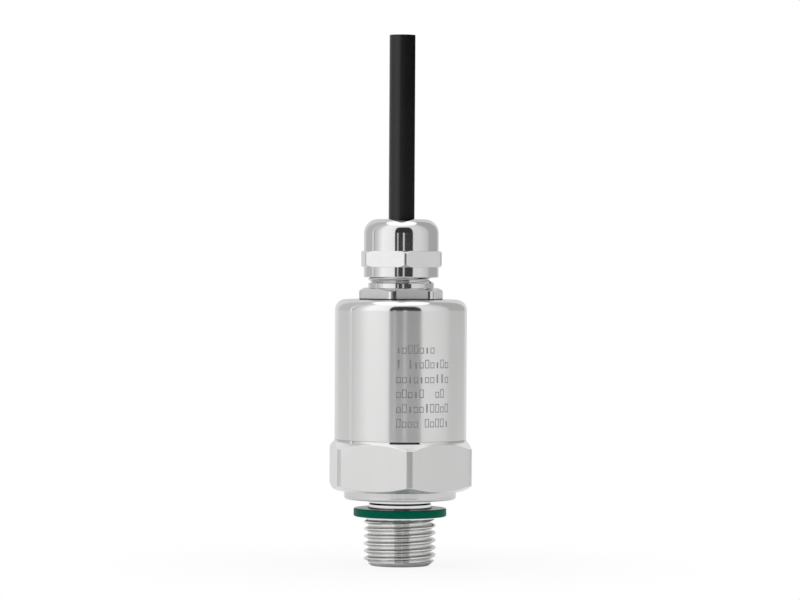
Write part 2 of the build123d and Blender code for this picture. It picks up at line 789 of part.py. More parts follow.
# Cap nut: skirt, hexagon and dome; its inside is the thread's bore, a cone that
# closes the fingers, and the mouth that the cable leaves by.
cone_slope = (finger_root_radius - finger_tip_radius) / finger_length
cone_offset = cone_clearance / cos(atan(cone_slope))
nut_ceiling_z = insert_top_z + 2 * cone_clearance
nut_shoulder_z = finger_z + cone_clearance
with BuildPart() as gland_nut:
    with BuildSketch(Plane.XY.offset(nut_z + nut_skirt_height)):
        hexagon(gland_hex_across_flats / 2, nut_hex_corner_angle)
    extrude(amount=nut_hex_height)
    with BuildSketch(Plane.XZ):
        with BuildLine():
            nut_hex_z = nut_z + nut_skirt_height
            nut_hex_top_z = nut_hex_z + nut_hex_height
            Polyline(
                (0, nut_hex_z),
                (gland_corner_radius - nut_hex_face_inset, nut_hex_z),
                (gland_corner_radius, nut_hex_z + nut_hex_chamfer_height),
                (gland_corner_radius, nut_hex_top_z - nut_hex_chamfer_height),
                (gland_corner_radius - nut_hex_face_inset, nut_hex_top_z),
                (0, nut_hex_top_z),
                close=True,
            )
        make_face()
    revolve(axis=Axis.Z, mode=Mode.INTERSECT)
    with BuildSketch(Plane.XZ):
        with BuildLine():
            Polyline(
                (0, nut_z),
                (nut_skirt_radius - nut_edge_chamfer, nut_z),
                (nut_skirt_radius, nut_z + nut_edge_chamfer),
                (nut_skirt_radius, nut_top_z - nut_dome_radius),
            )
            RadiusArc(
                (nut_skirt_radius, nut_top_z - nut_dome_radius),
                (nut_skirt_radius - nut_dome_radius, nut_top_z),
                -nut_dome_radius,
            )
            Polyline(
                (nut_skirt_radius - nut_dome_radius, nut_top_z),
                (0, nut_top_z),
                (0, nut_z),
            )
        make_face()
    revolve(axis=Axis.Z)
    with BuildSketch(Plane.XZ):
        with BuildLine():
            Polyline(
                (0, nut_z),
                (nut_bore_radius, nut_z),
                (nut_bore_radius, nut_shoulder_z),
                (finger_root_radius + cone_offset - cone_slope * cone_clearance, nut_shoulder_z),
                (finger_tip_radius + cone_offset - 2 * cone_slope * cone_clearance, nut_ceiling_z),
                (nut_mouth_radius, nut_ceiling_z),
                (nut_mouth_radius, nut_top_z),
                (0, nut_top_z),
                close=True,
            )
        make_face()
    revolve(axis=Axis.Z, mode=Mode.SUBTRACT)
    fillet(gland_nut.edges().group_by(Axis.Z)[-1].sort_by(SortBy.RADIUS)[0], nut_lip_radius)
save(gland_nut.part, "gland_nut")

# Cable: jacket, braid and three cores, cut square at the free end
cable_length = cable_end_z - cable_start_z
with BuildPart() as cable:
    with BuildSketch(Plane.XY.offset(cable_start_z)):
        Circle(cable_radius)
        Circle(shield_outer_radius, mode=Mode.SUBTRACT)
    extrude(amount=cable_length)
save(cable.part, "cable")

with BuildPart() as cable_shield:
    with BuildSketch(Plane.XY.offset(cable_start_z)):
        Circle(shield_outer_radius - oring_gap)
        Circle(shield_inner_radius, mode=Mode.SUBTRACT)
    extrude(amount=cable_length)
save(cable_shield.part, "cable_shield")


def core_path(turn, start_z):
    """Route of a core: up from its pad, in to the axis, and along the cable."""
    x_way = cos(radians(turn))
    y_way = sin(radians(turn))
    rise_z = board_top_z + core_pad_rise
    gather_z = cable_start_z - core_gather_height
    bend = atan((core_pad_radius - core_lay_radius) / (gather_z - rise_z))
    reach = core_bend_share / tan(bend / 2)
    return FilletPolyline(
        (core_pad_radius * x_way, core_pad_radius * y_way, start_z),
        (core_pad_radius * x_way, core_pad_radius * y_way, rise_z),
        (core_lay_radius * x_way, core_lay_radius * y_way, gather_z),
        (core_lay_radius * x_way, core_lay_radius * y_way, cable_end_z),
        radius=[reach * (core_pad_rise - core_strip_length), reach * core_gather_height],
    )


for core_name, core_turn in core_turns.items():
    with BuildPart() as core:
        with BuildLine():
            route = core_path(core_turn, board_top_z + core_strip_length)
        with BuildSketch(Plane(origin=route @ 0, z_dir=route % 0)):
            Circle(core_radius)
            Circle(conductor_radius, mode=Mode.SUBTRACT)
        sweep(path=route)
    save(core.part, core_name)

with BuildPart() as conductors:
    for core_turn in core_turns.values():
        with BuildLine():
            route = core_path(core_turn, board_z)
        with BuildSketch(Plane(origin=route @ 0, z_dir=route % 0)):
            Circle(conductor_radius)
        sweep(path=route)
save(conductors.part, "conductors")
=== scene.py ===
# %% [markdown]
# # A screw-in pressure transmitter, dressed in Blender
# The packed model brings every solid in its place, in metres, with the origin at the
# tip of the threaded stem and +Z along the axis. It has plain cylinders where the real
# part has threads, and its faces are cut coarsely for mirror-bright metal. So this
# script turns the outer pieces again, finely and with their threads, on the same sizes,
# and keeps the packed solids for all that lies inside.

# %% Load the packed model
import json
from math import acos, atan2, ceil, cos, pi, radians, sin, sqrt, tan

import bmesh
import bpy
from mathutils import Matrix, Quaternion, Vector


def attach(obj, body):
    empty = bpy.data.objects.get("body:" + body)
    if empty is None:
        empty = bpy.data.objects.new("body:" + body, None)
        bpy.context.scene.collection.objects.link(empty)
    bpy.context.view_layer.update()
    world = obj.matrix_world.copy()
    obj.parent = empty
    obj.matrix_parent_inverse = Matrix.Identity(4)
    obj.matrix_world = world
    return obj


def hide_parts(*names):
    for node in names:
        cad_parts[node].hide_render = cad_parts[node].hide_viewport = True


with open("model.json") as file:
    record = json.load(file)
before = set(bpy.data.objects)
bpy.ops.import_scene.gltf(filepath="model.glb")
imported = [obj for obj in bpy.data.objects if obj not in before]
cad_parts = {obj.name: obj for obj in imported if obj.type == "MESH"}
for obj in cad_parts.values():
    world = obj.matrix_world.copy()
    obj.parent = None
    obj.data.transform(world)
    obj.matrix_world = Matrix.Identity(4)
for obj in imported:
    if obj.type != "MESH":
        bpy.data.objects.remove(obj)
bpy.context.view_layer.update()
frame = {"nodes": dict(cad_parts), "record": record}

MM = 0.001


# %% [markdown]
# ## The camera
# The photograph was taken with a long lens from about 0.7 m, level with the gland's
# nut. The hexagon's front corner stands 7 degrees to the right of the line of sight,
# so the camera stands 7 degrees to the left of -Y. The view is aimed at the height
# that falls in the middle of the picture, by a slight tilt instead of shift. A pixel
# of the picture is 0.182 mm at the axis. The camera's own distances are in metres.

# %% Camera
IMAGE_WIDTH = 800
AXIS_COLUMN = 401.1
PIXEL_SIZE = 0.182
VIEW_AZIMUTH = radians(-7.1)
VIEW_DISTANCE = 0.71
VIEW_WIDTH = IMAGE_WIDTH * PIXEL_SIZE * MM
SENSOR_WIDTH = 36.0
CAMERA_HEIGHT = 0.059
AIM_HEIGHT = 0.0483
CAMERA_ROLL = radians(0.32)

camera_data = bpy.data.cameras.new("camera")
camera_data.sensor_width = SENSOR_WIDTH
camera_data.lens = SENSOR_WIDTH * VIEW_DISTANCE / VIEW_WIDTH
camera = bpy.data.objects.new("camera", camera_data)
bpy.context.scene.collection.objects.link(camera)
camera.location = (
    VIEW_DISTANCE * sin(VIEW_AZIMUTH),
    -VIEW_DISTANCE * cos(VIEW_AZIMUTH),
    CAMERA_HEIGHT,
)
aim = Vector((0, 0, AIM_HEIGHT)) - camera.location
roll = Quaternion((0, 0, 1), CAMERA_ROLL)
camera.rotation_euler = (aim.to_track_quat("-Z", "Y") @ roll).to_euler()
camera_data.shift_x = (IMAGE_WIDTH / 2 - AXIS_COLUMN) / IMAGE_WIDTH
bpy.context.scene.camera = camera
print("lens", round(camera_data.lens, 1), "mm")


# %% [markdown]
# ## Sizes
# The sizes below repeat those of the packed solids, in millimetres as a drawing gives
# them. Heights count from the tip of the stem.

# %% Sizes of the outer pieces
THREAD_LENGTH = 8.9
THREAD_RADIUS = 13.157 / 2
THREAD_PITCH = 1.337
THREAD_FLANK = radians(27.5)
TIP_RADIUS = 5.25
TIP_CHAMFER = 1.05
RUNOUT_Z = 8.5
RUNOUT_RADIUS = 6.2
NECK_RADIUS = 5.7
GROOVE_Z = 11.3
COLLAR_Z = 12.1
COLLAR_RADIUS = 10.2
HEX_Z = 13.7
HEX_TOP_Z = 22.95
HEX_FLAT = 12.25
HEX_CORNER = 13.83
HEX_LOW_FACE = 11.65
HEX_LOW_CHAMFER = 1.08
HEX_HIGH_CHAMFER = 1.55
LAND_Z = 22.57
LAND_RADIUS = 12.1
SPIGOT_RADIUS = 10.75
SPIGOT_TOP_Z = 27.55
ORING_LOW_Z = 24.305
ORING_HIGH_Z = 25.995
ORING_FLOOR = 9.7
CAPSULE_BORE = 7.55
SEAT_Z = 15.2
POCKET_RADIUS = 5.6
POCKET_Z = 14.7
PORT_RADIUS = 2.5
HOUSING_RADIUS = 12.0
SLEEVE_INNER = 10.8
CEILING_Z = 44.4
HOUSING_TOP_Z = 48.4
GLAND_FLAT = 7.0
GLAND_CORNER = 7.963
GLAND_THREAD_RADIUS = 6.0
FLANGE_TOP_Z = 50.5
GLAND_RIM_Z = 56.9
NUT_Z = 52.4
NUT_TOP_Z = 63.0
CABLE_RADIUS = 2.35
JACKET_BORE = 1.65
CABLE_START_Z = 41.5
CABLE_END_Z = 96.5
print("height in millimetres", CABLE_END_Z)


# %% [markdown]
# ## Outlines and turned meshes
# Nearly every outer piece was made on a lathe, so one idea builds them all: an outline
# of (radius, height) pairs is set up at many angles round the axis and joined. Where
# the outline is the same at each angle the piece is round. Where it changes with the
# angle it can be a hexagon, whose chamfers then cut the flats in the curved lines that
# a real lathe leaves. A third number at a point of an outline rounds that corner: a
# sharp edge never catches the light as a broken edge does. One more row stands close to
# each end of the rounding and holds the smooth shading off the faces beside it.

# %% Outlines with rounded corners
CORNER_STEPS = 6
HOLD = 0.02
LONGEST_REACH = 0.8


def rounded(points, closed=True):
    """Outline whose corners with a third number are rounded by that radius."""
    outline = []
    for index, point in enumerate(points):
        corner = Vector(point[:2])
        if len(point) < 3 or (not closed and index in (0, len(points) - 1)):
            outline.append(tuple(corner))
            continue
        before = Vector(points[index - 1][:2]) - corner
        after = Vector(points[(index + 1) % len(points)][:2]) - corner
        half_angle = before.angle(after) / 2
        longest = LONGEST_REACH * min(before.length, after.length)
        reach = min(point[2] / tan(half_angle), longest)
        start = corner + before.normalized() * reach
        end = corner + after.normalized() * reach
        middle = (before.normalized() + after.normalized()).normalized()
        centre = corner + middle * (reach / cos(half_angle))
        outline.append(tuple(start + before.normalized() * HOLD))
        for step in range(CORNER_STEPS + 1):
            share = step / CORNER_STEPS
            spoke = (start - centre).lerp(end - centre, share).normalized()
            outline.append(tuple(centre + spoke * (start - centre).length))
        outline.append(tuple(end + after.normalized() * HOLD))
    return outline


print("a rounded corner has", len(rounded([(0, 0), (1, 0, 0.1), (1, 1)], False)) - 2, "points")

# %% Turning an outline into a mesh
ROUND_COLUMNS = 256
MERGE_DISTANCE = 1e-8
SHARP_ANGLE = radians(50)


def round_angles(columns=ROUND_COLUMNS):
    """Angles of a round piece, evenly spaced."""
    return [2 * pi * column / columns for column in range(columns)]


def turn(mesh, outline_at, angles, closed=True):
    """Add to a bmesh the surface that the outline sweeps round the axis."""
    columns = []
    for angle in angles:
        across, along = cos(angle) * MM, sin(angle) * MM
        points = [(r * across, r * along, z * MM) for r, z in outline_at(angle)]
        columns.append([mesh.verts.new(point) for point in points])
    for column, following in zip(columns, columns[1:] + columns[:1]):
        steps = list(zip(column, following))
        if closed:
            steps.append(steps[0])
        for (a, b), (d, c) in zip(steps, steps[1:]):
            mesh.faces.new((a, b, c, d))


def finished(name, mesh, body, *nodes):
    """Make the bmesh a smooth piece that rides on a body and replaces packed nodes."""
    bmesh.ops.remove_doubles(mesh, verts=mesh.verts[:], dist=MERGE_DISTANCE)
    bmesh.ops.recalc_face_normals(mesh, faces=mesh.faces[:])
    data = bpy.data.meshes.new(name)
    mesh.to_mesh(data)
    mesh.free()
    data.shade_smooth()
    data.set_sharp_from_angle(angle=SHARP_ANGLE)
    piece = bpy.data.objects.new(name, data)
    bpy.context.scene.collection.objects.link(piece)
    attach(piece, body)
    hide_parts(*nodes)
    print(name, len(data.polygons), "faces")
    return piece


def turned(name, points, body, *nodes):
    """A round piece from one closed outline."""
    outline = rounded(points)
    mesh = bmesh.new()
    turn(mesh, lambda angle: outline, round_angles())
    return finished(name, mesh, body, *nodes)


print("a round piece has", len(round_angles()), "columns")

# %% [markdown]
# ## Hexagons with turned or rounded corners
# At each angle a hexagon's side lies at the flat's distance, divided by the cosine of
# the angle from the flat's middle. A big hexagon cut from bar has its corners turned
# back to a circle, so the side is never further out than that radius. A small plated
# one has its corners polished round. The columns crowd together at each edge, so that
# the flats stay flat in the shading right up to it.

# %% Hexagon columns
FLAT_COLUMNS = 18
CORNER_COLUMNS = 8


def spread(start, end, count):
    """Evenly spaced numbers from start to end."""
    return [start + (end - start) * step / (count - 1) for step in range(count)]


def turned_side(off_corner, flat, corner):
    """Side of a hexagon with turned corners, at an angle from its nearest corner."""
    return min(flat / cos(pi / 6 - abs(off_corner)), corner)


def corner_rounding(flat, radius):
    """Distance of a rounding's centre, and its edge's angle from the corner."""
    centre = (flat - radius) / cos(pi / 6)
    return centre, atan2(radius / 2, centre + radius * cos(pi / 6))


def polished_side(off_corner, flat, radius):
    """Side of a hexagon whose corners are rounded by a radius."""
    centre, edge = corner_rounding(flat, radius)
    if abs(off_corner) >= edge:
        return flat / cos(pi / 6 - abs(off_corner))
    return centre * cos(off_corner) + sqrt(radius**2 - (centre * sin(off_corner)) ** 2)


def off_nearest_corner(angle, corner_angle):
    """Angle from the nearest corner, from minus to plus thirty degrees."""
    return (angle - corner_angle + pi / 6) % (pi / 3) - pi / 6


def hex_angles(corner_reach, corner_angle, gap):
    """Angles whose columns crowd at both edges of each corner."""
    angles = []
    for sector in range(6):
        corner = corner_angle + sector * pi / 3
        angles += spread(corner - corner_reach + gap, corner + corner_reach - gap, CORNER_COLUMNS)
        low, high = corner + corner_reach + gap, corner + pi / 3 - corner_reach - gap
        angles += [low, *spread(low + gap, high - gap, FLAT_COLUMNS), high]
    return angles


print("columns round a hexagon", len(hex_angles(0.04, 0, 0.002)))

# %% [markdown]
# ## Threads
# A thread is a groove that climbs by one pitch each turn. The surface here is a grid
# whose rows climb with it, so crests and roots run along the rows and stay crisp. The
# section is a V with its crest and root rounded, and the tip's chamfer and the run-out
# only lower it, as they do on the lathe. The grid is made too long and cut level at
# both ends, which leaves two rings to join to the rest of the piece. Where a cutter
# lifts out before a shoulder, the groove's floor rises.

# %% Thread section
def thread_drop(phase, pitch, flank, rounding):
    """Depth below the crest, at a share of the pitch from the crest."""
    along = abs((phase + 0.5) % 1 - 0.5) * pitch
    cut_off = rounding * (1 / sin(flank) - 1)
    depth = pitch / 2 / tan(flank) - 2 * cut_off
    tangent = rounding * cos(flank)
    if along < tangent:
        return rounding - sqrt(rounding**2 - along**2)
    if along > pitch / 2 - tangent:
        return depth - rounding + sqrt(rounding**2 - (pitch / 2 - along) ** 2)
    return along / tan(flank) - cut_off


print("a sharp thread of 1 mm pitch is", round(thread_drop(0.5, 1, pi / 6, 0), 3), "mm deep")

# %% Thread surface
ROWS_PER_PITCH = 20
THREAD_COLUMNS = 192
SPARE_TURNS = 1.5
CUT_DISTANCE = 1e-7


def add_thread(mesh, low, high, radius, pitch, flank, rounding, crest_z, limits):
    """Add a right-hand thread; limits gives its least and largest radius at a height."""
    row_height = pitch / ROWS_PER_PITCH
    start = crest_z - ceil((crest_z - low) / pitch + SPARE_TURNS) * pitch
    rows = ceil((high - start) / row_height) + ROWS_PER_PITCH
    columns = []
    for column in range(THREAD_COLUMNS):
        turned_share = column / THREAD_COLUMNS
        angle = 2 * pi * turned_share
        points = []
        for row in range(rows):
            z = start + row * row_height + turned_share * pitch
            drop = thread_drop(row / ROWS_PER_PITCH, pitch, flank, rounding)
            least, most = limits(z)
            r = min(max(radius - drop, least), most)
            points.append(mesh.verts.new((r * cos(angle) * MM, r * sin(angle) * MM, z * MM)))
        columns.append(points)
    for column, following in zip(columns, columns[1:]):
        for row in range(rows - 1):
            mesh.faces.new((column[row], following[row], following[row + 1], column[row + 1]))
    for row in range(rows - 1 - ROWS_PER_PITCH):
        above = row + ROWS_PER_PITCH
        mesh.faces.new(
            (columns[-1][row], columns[0][above], columns[0][above + 1], columns[-1][row + 1])
        )
    for height, outward in ((low, -1), (high, 1)):
        bmesh.ops.bisect_plane(
            mesh,
            geom=mesh.verts[:] + mesh.edges[:] + mesh.faces[:],
            dist=CUT_DISTANCE,
            plane_co=(0, 0, height * MM),
            plane_no=(0, 0, outward),
            clear_outer=True,
        )


def bridge(mesh, height, reach=0.06):
    """Join the two open rings that lie near a height."""
    edges = [
        edge
        for edge in mesh.edges
        if edge.is_boundary and all(abs(v.co.z / MM - height) < reach for v in edge.verts)
    ]
    bmesh.ops.bridge_loops(mesh, edges=edges)


print("points round a thread's turn", THREAD_COLUMNS)

# %% [markdown]
# ## Process connection
# One turned piece: the threaded stem, the relieved neck under the shoulder, the round
# shoulder, the hexagon and, inside the sleeve, the spigot and the capsule's bore. A
# narrow bright land stands between the hexagon's chamfer and the sleeve. The
# thread goes on first and is cut level, then the rest of the outline is turned over
# the hexagon's columns and the open rings are bridged.

# %% Limits of the stem's thread
ROUNDING_SHARE = 0.137329
THREAD_ROUNDING = ROUNDING_SHARE * THREAD_PITCH
THREAD_CREST_Z = 0.621
LEAST_RADIUS = 0.5


def stem_limits(z):
    """Least and largest radius at a height: tip chamfer, crest, then a plain band."""
    below_band = max(RUNOUT_Z - z, 0)
    tip = TIP_RADIUS + z * (THREAD_RADIUS - TIP_RADIUS) / TIP_CHAMFER
    most = min(tip, RUNOUT_RADIUS + below_band, THREAD_RADIUS)
    return RUNOUT_RADIUS - below_band, max(most, LEAST_RADIUS)


print("radius of the stem's tip", round(stem_limits(0)[1], 2), "mm")

# %% Outline of the process connection
HEX_CORNER_ANGLE = -pi / 2
GROOVE_HALF_WIDTH = 0.15
GROOVE_DEPTH = 0.2
COLLAR_ROUND = 0.45


def connection_outline(angle):
    """Outline above the thread, out over the hexagon and down the bore to the tip."""
    side = turned_side(off_nearest_corner(angle, HEX_CORNER_ANGLE), HEX_FLAT, HEX_CORNER)
    low_slope = HEX_LOW_CHAMFER / (HEX_CORNER - HEX_LOW_FACE)
    high_slope = (LAND_Z - HEX_TOP_Z + HEX_HIGH_CHAMFER) / (HEX_CORNER - LAND_RADIUS)
    side_low = HEX_Z + (side - HEX_LOW_FACE) * low_slope
    side_high = LAND_Z - (side - LAND_RADIUS) * high_slope
    return rounded(
        [
            (NECK_RADIUS, THREAD_LENGTH),
            (NECK_RADIUS, GROOVE_Z - GROOVE_HALF_WIDTH, 0.03),
            (NECK_RADIUS - GROOVE_DEPTH, GROOVE_Z),
            (NECK_RADIUS, GROOVE_Z + GROOVE_HALF_WIDTH, 0.03),
            (NECK_RADIUS, COLLAR_Z, 0.12),
            (COLLAR_RADIUS, COLLAR_Z, COLLAR_ROUND),
            (COLLAR_RADIUS, HEX_Z, 0.06),
            (HEX_LOW_FACE, HEX_Z, 0.08),
            (side, side_low, 0.10),
            (side, side_high, 0.10),
            (LAND_RADIUS, LAND_Z, 0.03),
            (HOUSING_RADIUS, HEX_TOP_Z, 0.03),
            (SPIGOT_RADIUS, HEX_TOP_Z),
            (SPIGOT_RADIUS, ORING_LOW_Z),
            (ORING_FLOOR, ORING_LOW_Z),
            (ORING_FLOOR, ORING_HIGH_Z),
            (SPIGOT_RADIUS, ORING_HIGH_Z),
            (SPIGOT_RADIUS, SPIGOT_TOP_Z, 0.3),
            (CAPSULE_BORE, SPIGOT_TOP_Z, 0.1),
            (CAPSULE_BORE, SEAT_Z),
            (POCKET_RADIUS, SEAT_Z),
            (POCKET_RADIUS, POCKET_Z),
            (PORT_RADIUS, POCKET_Z, 0.05),
            (PORT_RADIUS, 0, 0.08),
            (TIP_RADIUS, 0),
        ],
        closed=False,
    )


print("outline of the connection", len(connection_outline(0)), "points")

# %% Make the process connection
HEX_EDGE_WIDTH = 0.05
JOIN_GAP = 0.02


def process_connection():
    """The turned stainless piece, with its pipe thread."""
    mesh = bmesh.new()
    add_thread(
        mesh, JOIN_GAP, THREAD_LENGTH - JOIN_GAP, THREAD_RADIUS, THREAD_PITCH, THREAD_FLANK,
        THREAD_ROUNDING, THREAD_CREST_Z, stem_limits,
    )
    corner_reach = pi / 6 - acos(HEX_FLAT / HEX_CORNER)
    angles = hex_angles(corner_reach, HEX_CORNER_ANGLE, HEX_EDGE_WIDTH / HEX_CORNER)
    turn(mesh, connection_outline, angles, closed=False)
    bridge(mesh, 0)
    bridge(mesh, THREAD_LENGTH)
    return finished("process_connection_turned", mesh, "root", "process_connection")


connection = process_connection()

# %% [markdown]
# ## Seal ring
# A profile ring of fluoro rubber, moulded with soft edges. It lies just above the
# thread's end, loose below the shoulder. An outline of four points is enough, because
# the rounding of its corners is all the shape that such a ring shows.

# %% Make the seal ring
SEAL_Z = 8.95
SEAL_THICKNESS = 1.5
SEAL_INNER = 5.8
SEAL_OUTER = 8.45
seal = turned(
    "seal_ring_moulded",
    [
        (SEAL_INNER, SEAL_Z, 0.2),
        (SEAL_OUTER, SEAL_Z, 0.28),
        (SEAL_OUTER, SEAL_Z + SEAL_THICKNESS, 0.28),
        (SEAL_INNER, SEAL_Z + SEAL_THICKNESS, 0.2),
    ],
    "root",
    "seal_ring",
)

# %% [markdown]
# ## Sleeve
# A deep cup turned from bar, upside down over the spigot, with a broken edge at its
# foot and a full radius at its shoulder.

# %% Make the sleeve
SHOULDER_ROUND = 1.85
HOLE_CHAMFER = 0.5
CEILING_ROUND = 0.4
sleeve = turned(
    "housing_turned",
    [
        (SLEEVE_INNER, HEX_TOP_Z),
        (HOUSING_RADIUS, HEX_TOP_Z, 0.12),
        (HOUSING_RADIUS, HOUSING_TOP_Z, SHOULDER_ROUND),
        (GLAND_THREAD_RADIUS + HOLE_CHAMFER, HOUSING_TOP_Z, 0.05),
        (GLAND_THREAD_RADIUS, HOUSING_TOP_Z - HOLE_CHAMFER),
        (GLAND_THREAD_RADIUS, CEILING_Z),
        (SLEEVE_INNER, CEILING_Z, CEILING_ROUND),
    ],
    "root",
    "housing",
)


# %% [markdown]
# ## Gland body
# Nickel-plated brass, turned from hexagon bar. Its flange shows its flats, with a
# chamfer on top, and the upper thread shows in the gap below the nut. The shank lies
# in the sleeve's hole, and the pocket for its seal opens under the flange.

# %% Limits of the gland's thread
GLAND_PITCH = 1.5
GLAND_ROUNDING = 0.19
GLAND_CREST_Z = 51.325
PLAIN_FOOT_Z = 51.35
FOOT_SLOPE = 3.5
THREAD_CHAMFER = 0.375


def gland_limits(z):
    """Least and largest radius: the groove runs out at the flange, the rim is chamfered."""
    rim = GLAND_THREAD_RADIUS - THREAD_CHAMFER + (GLAND_RIM_Z - z)
    floor = GLAND_THREAD_RADIUS - max(z - PLAIN_FOOT_Z, 0) * FOOT_SLOPE
    return floor, min(GLAND_THREAD_RADIUS, rim)


print("radius of the gland's rim", round(gland_limits(GLAND_RIM_Z)[1], 3), "mm")

# %% Outline of the gland body
GLAND_CORNER_ANGLE = radians(-110.6)
FLANGE_CORNER = 1.1
FLANGE_FACE = 6.75
FLANGE_CHAMFER = 0.6
SEAL_POCKET_RADIUS = 6.5
SEAL_POCKET_Z = 49.1
SHANK_NECK = 5.2
SHANK_Z = 47.6
SHANK_RADIUS = 5.95
SHANK_END_Z = 43.9
GLAND_BORE = 3.0
INSERT_POCKET_Z = 52.0
INSERT_POCKET_RADIUS = 4.5


def gland_body_outline(angle):
    """Outline from the thread's foot over the flange, down the shank and up the bore."""
    off_corner = off_nearest_corner(angle, GLAND_CORNER_ANGLE)
    side = polished_side(off_corner, GLAND_FLAT, FLANGE_CORNER)
    side_top = FLANGE_TOP_Z - (side - FLANGE_FACE) * FLANGE_CHAMFER / (GLAND_CORNER - FLANGE_FACE)
    return rounded(
        [
            (GLAND_THREAD_RADIUS, FLANGE_TOP_Z),
            (FLANGE_FACE, FLANGE_TOP_Z, 0.06),
            (side, side_top, 0.06),
            (side, HOUSING_TOP_Z, 0.2),
            (SEAL_POCKET_RADIUS, HOUSING_TOP_Z),
            (SEAL_POCKET_RADIUS, SEAL_POCKET_Z),
            (SHANK_NECK, SEAL_POCKET_Z),
            (SHANK_NECK, SHANK_Z),
            (SHANK_RADIUS, SHANK_Z),
            (SHANK_RADIUS, SHANK_END_Z + THREAD_CHAMFER),
            (SHANK_RADIUS - THREAD_CHAMFER, SHANK_END_Z),
            (GLAND_BORE, SHANK_END_Z),
            (GLAND_BORE, INSERT_POCKET_Z),
            (INSERT_POCKET_RADIUS, INSERT_POCKET_Z),
            (INSERT_POCKET_RADIUS, GLAND_RIM_Z, 0.1),
            (GLAND_THREAD_RADIUS - THREAD_CHAMFER, GLAND_RIM_Z),
        ],
        closed=False,
    )


print("outline of the gland body", len(gland_body_outline(0)), "points")

# %% Make the gland body
POLISHED_EDGE = 0.004


def gland_body():
    """Flange, shank and bore, with the upper thread bridged in."""
    mesh = bmesh.new()
    low, high = FLANGE_TOP_Z + JOIN_GAP, GLAND_RIM_Z - JOIN_GAP
    add_thread(
        mesh, low, high, GLAND_THREAD_RADIUS, GLAND_PITCH, pi / 6,
        GLAND_ROUNDING, GLAND_CREST_Z, gland_limits,
    )
    reach = corner_rounding(GLAND_FLAT, FLANGE_CORNER)[1]
    angles = hex_angles(reach, GLAND_CORNER_ANGLE, POLISHED_EDGE)
    turn(mesh, gland_body_outline, angles, closed=False)
    bridge(mesh, FLANGE_TOP_Z)
    bridge(mesh, GLAND_RIM_Z)
    return finished("gland_body_turned", mesh, "root", "gland_body")


gland = gland_body()

# %% [markdown]
# ## Cap nut
# The nut is bright nickel, with a plain skirt, a hexagon just proud of it and a dome
# with a rolled lip round the lead. Inside, a cone closes the insert's fingers.

# %% Outline of the cap nut
NUT_CORNER_ANGLE = radians(-91.6)
NUT_CORNER = 0.75
NUT_SKIRT = 6.8
NUT_HEX_Z = 54.3
NUT_HEX_TOP_Z = 57.2
NUT_FACE = 7.5
NUT_CHAMFER = 0.35
FACE_GAP = 0.02
NUT_DOME = 2.5
NUT_LIP = 0.38
NUT_HOLE = 3.1
NUT_BORE = 6.06
CONE_TOP_Z = 61.4
CONE_TOP = 3.945
CONE_FOOT_Z = 57.6
CONE_FOOT = 5.075


def cap_nut_outline(angle):
    """Closed outline of the nut at an angle round the axis."""
    off_corner = off_nearest_corner(angle, NUT_CORNER_ANGLE)
    side = polished_side(off_corner, GLAND_FLAT, NUT_CORNER)
    inset = max(side - NUT_FACE, 0) * NUT_CHAMFER / (GLAND_CORNER - NUT_FACE)
    face = min(side - FACE_GAP, NUT_FACE)
    return rounded(
        [
            (NUT_BORE, NUT_Z, 0.08),
            (NUT_SKIRT, NUT_Z, 0.18),
            (NUT_SKIRT, NUT_HEX_Z),
            (face, NUT_HEX_Z),
            (side, NUT_HEX_Z + inset + FACE_GAP, 0.05),
            (side, NUT_HEX_TOP_Z - inset - FACE_GAP, 0.05),
            (face, NUT_HEX_TOP_Z),
            (NUT_SKIRT, NUT_HEX_TOP_Z, 0.05),
            (NUT_SKIRT, NUT_TOP_Z, NUT_DOME),
            (NUT_HOLE, NUT_TOP_Z, NUT_LIP),
            (NUT_HOLE, CONE_TOP_Z),
            (CONE_TOP, CONE_TOP_Z),
            (CONE_FOOT, CONE_FOOT_Z),
            (NUT_BORE, CONE_FOOT_Z),
        ]
    )


print("outline of the nut", len(cap_nut_outline(0)), "points")

# %% Make the cap nut
def cap_nut():
    """The nut, whose columns crowd at the corners of its hexagon."""
    mesh = bmesh.new()
    reach = corner_rounding(GLAND_FLAT, NUT_CORNER)[1]
    turn(mesh, cap_nut_outline, hex_angles(reach, NUT_CORNER_ANGLE, POLISHED_EDGE))
    return finished("gland_nut_turned", mesh, "gland_nut", "gland_nut")


nut = cap_nut()

# %% [markdown]
# ## The lead
# The lead stands straight up from the gland and is cut square. Its centre line is a
# smooth spline of three points on the axis, the same as the packed solid's. The jacket
# is a tube that follows the spline, because its cut end shows the braid and the cores.


def lead_route(heights):
    """Points along a smooth spline that runs up the axis."""
    curve = bpy.data.curves.new("lead_route", "CURVE")
    curve.dimensions = "3D"
    spline = curve.splines.new("NURBS")
    spline.points.add(len(heights) - 1)
    for point, height in zip(spline.points, heights):
        point.co = (0, 0, height * MM, 1)
    spline.order_u = 3
    spline.use_endpoint_u = True
    route = bpy.data.objects.new("lead_route", curve)
    bpy.context.scene.collection.objects.link(route)
    line = bpy.data.meshes.new_from_object(route)
    points = [vertex.co.copy() for vertex in line.vertices]
    bpy.data.objects.remove(route)
    return points


route = lead_route([CABLE_START_Z, (CABLE_START_Z + CABLE_END_Z) / 2, CABLE_END_Z])
jacket_outline = [(JACKET_BORE, route[0].z / MM)]
jacket_outline += [(CABLE_RADIUS, point.z / MM) for point in route[:-1]]
jacket_outline += [(CABLE_RADIUS, route[-1].z / MM, 0.12), (JACKET_BORE, route[-1].z / MM, 0.05)]
jacket = turned("cable_jacket", jacket_outline, "root", "cable")
print("the lead follows", len(route), "points")

